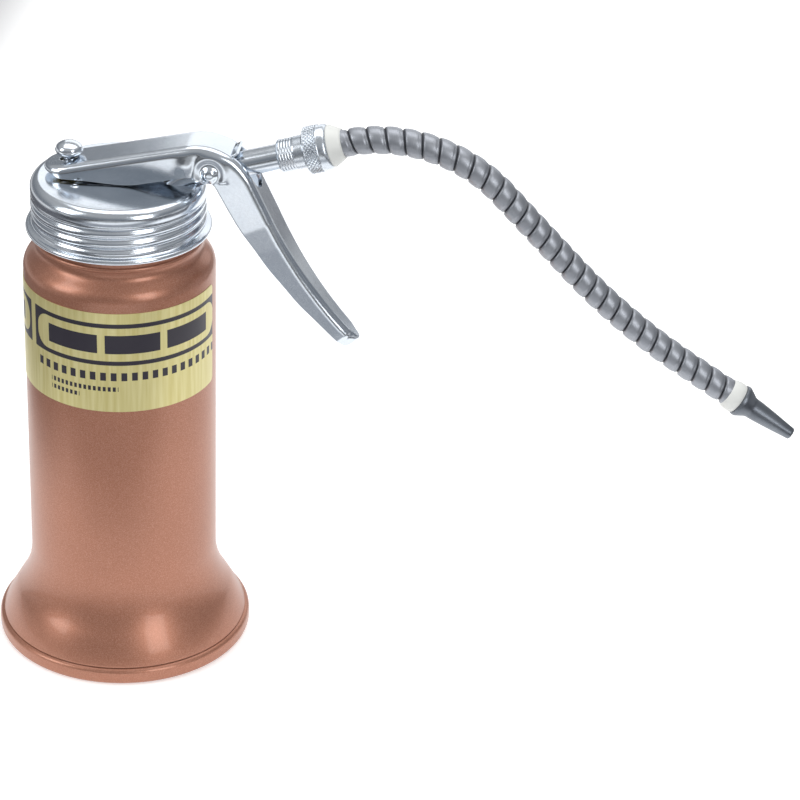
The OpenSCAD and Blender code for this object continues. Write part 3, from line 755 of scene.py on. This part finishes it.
def slot_lip():
    """Short tongue bent up at the head of the slot, over the spout tube."""
    path = smooth_curve([(33.4, 166.6), (34.3, 166.48), (35.2, 166.75), (36.0, 167.3), (36.5, 167.85)], 5)
    verts, faces = [], []
    half, thick = 4.6, 0.42
    for i, (x, z) in enumerate(path):
        q = path[min(i + 1, len(path) - 1)]
        o = path[max(i - 1, 0)]
        t = Vector((q[0] - o[0], q[1] - o[1])).normalized()
        nrm = Vector((-t[1], t[0]))
        ring_pts = arc(0, 0, thick, 90, 270, 6)
        loop = [(half - 0.3 - px * 0.6, pz) for px, pz in ring_pts[::-1]]
        loop += [(-half + 0.3 + px * 0.6, pz) for px, pz in ring_pts]
        for y, h in loop:
            verts.append((x + nrm[0] * h, y, z + nrm[1] * h))
    n = 14
    for i in range(len(path) - 1):
        for j in range(n):
            k = (j + 1) % n
            faces.append((i * n + j, i * n + k, (i + 1) * n + k, (i + 1) * n + j))
    faces.append(tuple(range(n))[::-1])
    faces.append(tuple((len(path) - 1) * n + j for j in range(n)))
    return make("slot_lip", verts, faces, zinc, "lever", slot="zinc", sharp=60)


slot_lip()

# ---------- rigid spout ----------

SPOUT = math.radians(17)
CS, SS = math.cos(SPOUT), math.sin(SPOUT)
TUBE = Axis((37.5, 0, 162.6), (CS, 0, SS), (-SS, 0, CS), (0, -1, 0))
TUBE_R, BEND_R, BEND_X = 3.85, 10.0, 14.9
bend_u = (BEND_X + BEND_R * (1 - SS) - 37.5) / CS
bend_z = 162.6 + bend_u * SS - BEND_R * CS


def swept(name, path, radius, material, body, n=48, **kw):
    """Round tube along path, a list of (x, z, heading)."""
    verts, faces = [], []
    for x, z, a in path:
        for i in range(n):
            th = TAU * i / n
            up, side = radius * math.cos(th), -radius * math.sin(th)
            verts.append((x - up * math.sin(a), side, z + up * math.cos(a)))
    for j in range(len(path) - 1):
        for i in range(n):
            k = (i + 1) % n
            faces.append((j * n + i, j * n + k, (j + 1) * n + k, (j + 1) * n + i))
    return make(name, verts, faces, material, body, **kw)


path = [(BEND_X, 149.0 - 3, math.pi / 2)]
for i in range(25):
    a = math.pi / 2 - (math.pi / 2 - SPOUT) * i / 24
    path.append((BEND_X + BEND_R - BEND_R * math.sin(a), bend_z + BEND_R * math.cos(a), a))
for u in (-12, -6, 0, 6, 12, 22.5):
    path.append((37.5 + u * CS, 162.6 + u * SS, SPOUT))
swept("spout_pipe", path, TUBE_R, zinc, "cap", replaced=("spout_tube", "spout_elbow"), slot="zinc")


def ferrule_thread(u, r, th):
    if not 11.9 < u < 16.6:
        return r
    f = (u / 0.85 - th / TAU) % 1.0
    return r - 0.16 * (0.5 + 0.5 * math.cos(TAU * f)) ** 0.8


ferrule = [(11.5, 3.8), (11.5, 4.55), (11.9, 4.95)] + [(11.9 + 0.09 * i, 5.0) for i in range(54)]
ferrule += [(17.2, 5.0), (24.1, 5.0), (24.2, 4.9), (24.2, 2.6)]
turned("ferrule_body", ferrule, TUBE, zinc_satin, "cap", n=120, shape=ferrule_thread,
       replaced=("spout_ferrule",), slot="zinc", sharp=30)


def knurl(u, r, th):
    """Diamond knurl: two crossed sets of V grooves."""
    lo, hi = 20.35, 24.3
    if r < 6.8 or not lo < u < hi:
        return r
    edge = min(1.0, (u - lo) / 0.3, (hi - u) / 0.3)
    teeth, lead = 34, 34 * 1.15
    cut = 0.0
    for way in (1, -1):
        f = (teeth * th / TAU + way * (u * teeth / lead)) % 1.0
        v = abs(f - 0.5) * 2
        cut = max(cut, max(0.0, (v - 0.45) / 0.55))
    return r - 0.34 * cut * edge


nut = [(25.2, 3.45), (25.2, 5.06), (19.9, 5.06), (19.8, 5.2), (19.8, 6.35), (20.3, 7.0)]
nut += [(20.35 + 0.11 * i, 7.1) for i in range(37)]
nut += [(24.5, 6.9), (24.75, 6.85), (26.3, 6.85), (27.0, 6.35), (27.1, 6.15), (27.0, 5.95)]
nut += [(26.2, 5.9), (26.1, 3.45)]
turned("knurled_nut", nut, TUBE, zinc_satin, "nut", n=408, closed=True, shape=knurl,
       replaced=("spout_nut",), slot="zinc", sharp=40)

sleeve = [(26.3, 3.0), (26.3, 5.85), (27.1, 6.0), (27.35, 6.3), (27.6, 6.35), (28.0, 6.2)]
sleeve += [(30.6, 4.75), (31.1, 4.4), (31.2, 4.1), (31.1, 3.6), (31.0, 3.0)]
turned("nylon_cone", sleeve, TUBE, nylon, "sleeve", n=96, closed=True,
       replaced=("hose_sleeve",), slot="nylon")

# ---------- flexible hose ----------

PITCH = 5.14
STRETCHES = [(5, -31.5), (5, -31.5), (6, 0.0), (9, 14.0), (3, 0.0)]
START = (37.5 + 31.2 * CS, 162.6 + 31.2 * SS)


def hose_layout():
    out, p, a = [], START, SPOUT
    s = 0.0
    for turns, deg in STRETCHES:
        length, t = turns * PITCH, math.radians(deg)
        out.append((s, p, a, length, t))
        if t:
            r = length / t
            x = p[0] + r * (math.sin(a + t) - math.sin(a))
            p = (x, p[1] + r * (math.cos(a) - math.cos(a + t)))
        else:
            p = (p[0] + length * math.cos(a), p[1] + length * math.sin(a))
        a, s = a + t, s + length
    out.append((s, p, a, 1.0, 0.0))
    return out


LAYOUT = hose_layout()
HOSE_LEN = LAYOUT[-1][0]


def hose_at(s):
    """Point and heading of the hose's centre line at length s."""
    s0, p, a, length, t = [q for q in LAYOUT if q[0] <= s + 1e-9][-1]
    d = s - s0
    if t:
        r, b = length / t, t * d / length
        x = p[0] + r * (math.sin(a + b) - math.sin(a))
        return (x, p[1] + r * (math.cos(a) - math.cos(a + b))), a + b
    return (p[0] + d * math.cos(a), p[1] + d * math.sin(a)), a


# one turn of the strip: share of the pitch, radius
STRIP = [(0.0, 3.40), (0.035, 3.42), (0.06, 3.62), (0.085, 3.86), (0.12, 3.98), (0.19, 4.06), (0.32, 4.12),
         (0.46, 4.14), (0.60, 4.12), (0.70, 4.07), (0.76, 4.00), (0.785, 3.90), (0.86, 3.87), (0.92, 3.82),
         (0.95, 3.68), (0.975, 3.46)]
STRIP_PHASE = 1.9
GROOVE_R, CREST_RISE = 3.40, 0.66


def hose_piece(name, row_a, row_b, material):
    """One length of the wound strip: rows are samples along the helix, columns go round it."""
    n, per = 56, len(STRIP)
    verts, faces, index, high, run = [], [], {}, [], []

    def vertex(i, j):
        if i == n:
            i, j = 0, j + per
        if (i, j) not in index:
            turn, k = divmod(j, per)
            u, r = STRIP[k]
            th = TAU * i / n
            s = (turn + u + th / TAU) * PITCH + STRIP_PHASE - PITCH
            s = max(0.0, min(HOSE_LEN, s))
            (x, z), a = hose_at(s)
            up, side = r * math.cos(th), -r * math.sin(th)
            index[i, j] = len(verts)
            verts.append((x - up * math.sin(a), side, z + up * math.cos(a)))
            high.append((r - GROOVE_R) / CREST_RISE)
            run.append(s * 9.0)
        return index[i, j]

    for j in range(row_a, row_b):
        for i in range(n):
            faces.append((vertex(i, j), vertex(i + 1, j), vertex(i + 1, j + 1), vertex(i, j + 1)))
    ob = make(name, verts, faces, material, None, sharp=60)
    for key, values in (("strip_height", high), ("strip_run", run)):
        at = ob.data.attributes.new(key, "FLOAT", "POINT")
        at.data.foreach_set("value", values)
    return ob


def row_at(s):
    return round((s - STRIP_PHASE + PITCH) / PITCH * len(STRIP))


centres = [LAYOUT[i][0] + LAYOUT[i][3] / 2 for i in range(5)]
cuts = [row_at(-2 * PITCH)]
cuts += [row_at(centres[i] - PITCH / 2) for i in (1, 2, 3)]
cuts += [row_at(HOSE_LEN + 0.5 * PITCH)]
for i in range(4):
    ob = hose_piece(f"hose_casing_{i + 1}", cuts[i], cuts[i + 1], hose_metal)
    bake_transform(ob)
    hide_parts(*(["hose_4", "hose_5"] if i == 3 else [f"hose_{i + 1}"]))

(ex, ez), ea = hose_at(HOSE_LEN)
ce, se = math.cos(ea), math.sin(ea)
END = Axis((ex, 0, ez), (ce, 0, se), (-se, 0, ce), (0, -1, 0))
collar = [(-0.5, 3.0), (-0.4, 3.9), (0.1, 4.25), (1.0, 4.6), (2.2, 4.8), (3.4, 4.75)]
collar += [(4.1, 4.5), (4.35, 4.1), (4.35, 2.5)]
turned("nylon_collar", collar, END, nylon, "hose_e", n=96, replaced=("tip_collar",), slot="nylon")

tip = [(4.2, 2.4), (4.2, 4.5), (4.35, 4.85), (4.7, 4.95), (5.4, 4.95), (5.75, 4.8), (7.2, 4.0)]
tip += [(8.2, 3.42), (8.7, 3.25), (9.3, 3.2), (11.0, 3.12), (14.0, 2.85), (17.5, 2.5), (20.5, 2.15)]
tip += [(22.9, 1.9), (23.4, 1.86), (23.65, 1.7), (23.7, 1.5), (23.6, 1.0), (19.0, 0.9)]
turned("nozzle_tip", tip, END, nozzle_metal, "hose_e", n=96,
       replaced=("nozzle",), slot="nozzle_metal", sharp=50)


# ---------- studio ----------


def area(name, place, target, size, power, colour=(1, 1, 1)):
    li = bpy.data.lights.new(name, "AREA")
    li.shape, li.size, li.size_y, li.energy, li.color = "RECTANGLE", size[0], size[1], power, colour
    ob = bpy.data.objects.new(name, li)
    bpy.context.scene.collection.objects.link(ob)
    ob.location = place
    ob.rotation_mode = "QUATERNION"
    ob.rotation_quaternion = (Vector(target) - Vector(place)).to_track_quat("-Z", "Y")
    return ob


area("key_left", (-0.95, -0.55, 0.75), (0.0, 0.0, 0.10), (0.5, 0.9), 5.2)
area("key_right", (0.80, -0.85, 0.60), (0.05, 0.0, 0.10), (0.45, 0.8), 4.4)
area("overhead", (0.1, 0.25, 1.15), (0.06, 0.0, 0.08), (1.2, 0.8), 5.6)
area("back_fill", (0.2, 1.0, 0.5), (0.06, 0.0, 0.1), (1.2, 0.6), 2.4)

world = bpy.data.worlds.new("studio")
bpy.context.scene.world = world
world.use_nodes = True
wn = world.node_tree
wco = wn.nodes.new("ShaderNodeTexCoord").outputs["Generated"]
wz = wn.nodes.new("ShaderNodeSeparateXYZ")
wn.links.new(wco, wz.inputs[0])
sky = ramp(
    wn, span(wn, wz.outputs[2], 0, 1),
    [(0.0, (0.80, 0.81, 0.83)), (0.10, (0.42, 0.45, 0.50)), (0.30, (0.55, 0.58, 0.62)),
     (0.62, (0.98, 0.99, 1.0)), (1.0, (1.0, 1.0, 1.0))],
)
wn.links.new(sky, wn.nodes["Background"].inputs["Color"])
wn.nodes["Background"].inputs["Strength"].default_value = 0.46

floor_mat, fnt, fb = new_material("pale_glowing_floor")
fco = fnt.nodes.new("ShaderNodeTexCoord").outputs["Object"]
fxy = fnt.nodes.new("ShaderNodeSeparateXYZ")
fnt.links.new(fco, fxy.inputs[0])
# white sheet between grey cards, which give the metal its dark bands
aside = maths(fnt, "ABSOLUTE", maths(fnt, "SUBTRACT", fxy.outputs[0], 0.06))
side_cards = ramp(
    fnt, aside,
    [(0.0, (1, 1, 1)), (0.19, (1, 1, 1)), (0.25, (0.10, 0.10, 0.11)), (0.42, (0.07, 0.07, 0.08)),
     (0.60, (0.7, 0.7, 0.7))],
)
ahead = maths(fnt, "MULTIPLY", fxy.outputs[1], -1)
front_cards = ramp(
    fnt, ahead,
    [(0.0, (1, 1, 1)), (0.10, (1, 1, 1)), (0.15, (0.26, 0.27, 0.29)), (0.25, (0.26, 0.27, 0.29)),
     (0.29, (0.95, 0.95, 0.95)), (0.42, (0.95, 0.95, 0.95)), (0.5, (0.3, 0.3, 0.3))],
)
cards = multiplied(fnt, side_cards, front_cards)
paper = ramp(fnt, noise(fnt, fco, 3, 2), [(0.3, (0.90, 0.90, 0.90)), (0.7, (0.92, 0.92, 0.92))])
fnt.links.new(multiplied(fnt, paper, cards), fb.inputs["Base Color"])
# painted light: the floor glows by its own emission in the card pattern, brightest on the white sheet
fnt.links.new(cards, fb.inputs["Emission Color"])
fb.inputs["Emission Strength"].default_value = 0.42
fb.inputs["Roughness"].default_value = 0.85
FLOOR_HALF, FLOOR_Z = 6000, -0.2
corners = [(-1, -1), (1, -1), (1, 1), (-1, 1)]
floor = make("floor", [(x * FLOOR_HALF, y * FLOOR_HALF, FLOOR_Z) for x, y in corners],
             [(0, 1, 2, 3)], floor_mat, None)

cam_data = bpy.data.cameras.new("camera")
cam_data.sensor_width = 36.0
cam_data.lens = 139.97
cam_data.clip_start, cam_data.clip_end = 0.05, 30.0
cam = bpy.data.objects.new("camera", cam_data)
bpy.context.scene.collection.objects.link(cam)
yaw, pitch, roll = math.radians(-6.151), math.radians(29.134), math.radians(1.919)
forward = Vector((math.sin(yaw) * math.cos(pitch), math.cos(yaw) * math.cos(pitch), -math.sin(pitch)))
right = Vector((math.cos(yaw), -math.sin(yaw), 0))
upward = right.cross(forward)
r3 = right * math.cos(roll) + upward * math.sin(roll)
u3 = upward * math.cos(roll) - right * math.sin(roll)
cam.matrix_world = Matrix((
    (r3[0], u3[0], -forward[0], 0.17509),
    (r3[1], u3[1], -forward[1], -0.82375),
    (r3[2], u3[2], -forward[2], 0.54940),
    (0, 0, 0, 1),
))
bpy.context.scene.camera = cam
bpy.context.scene.view_settings.view_transform = "Standard"
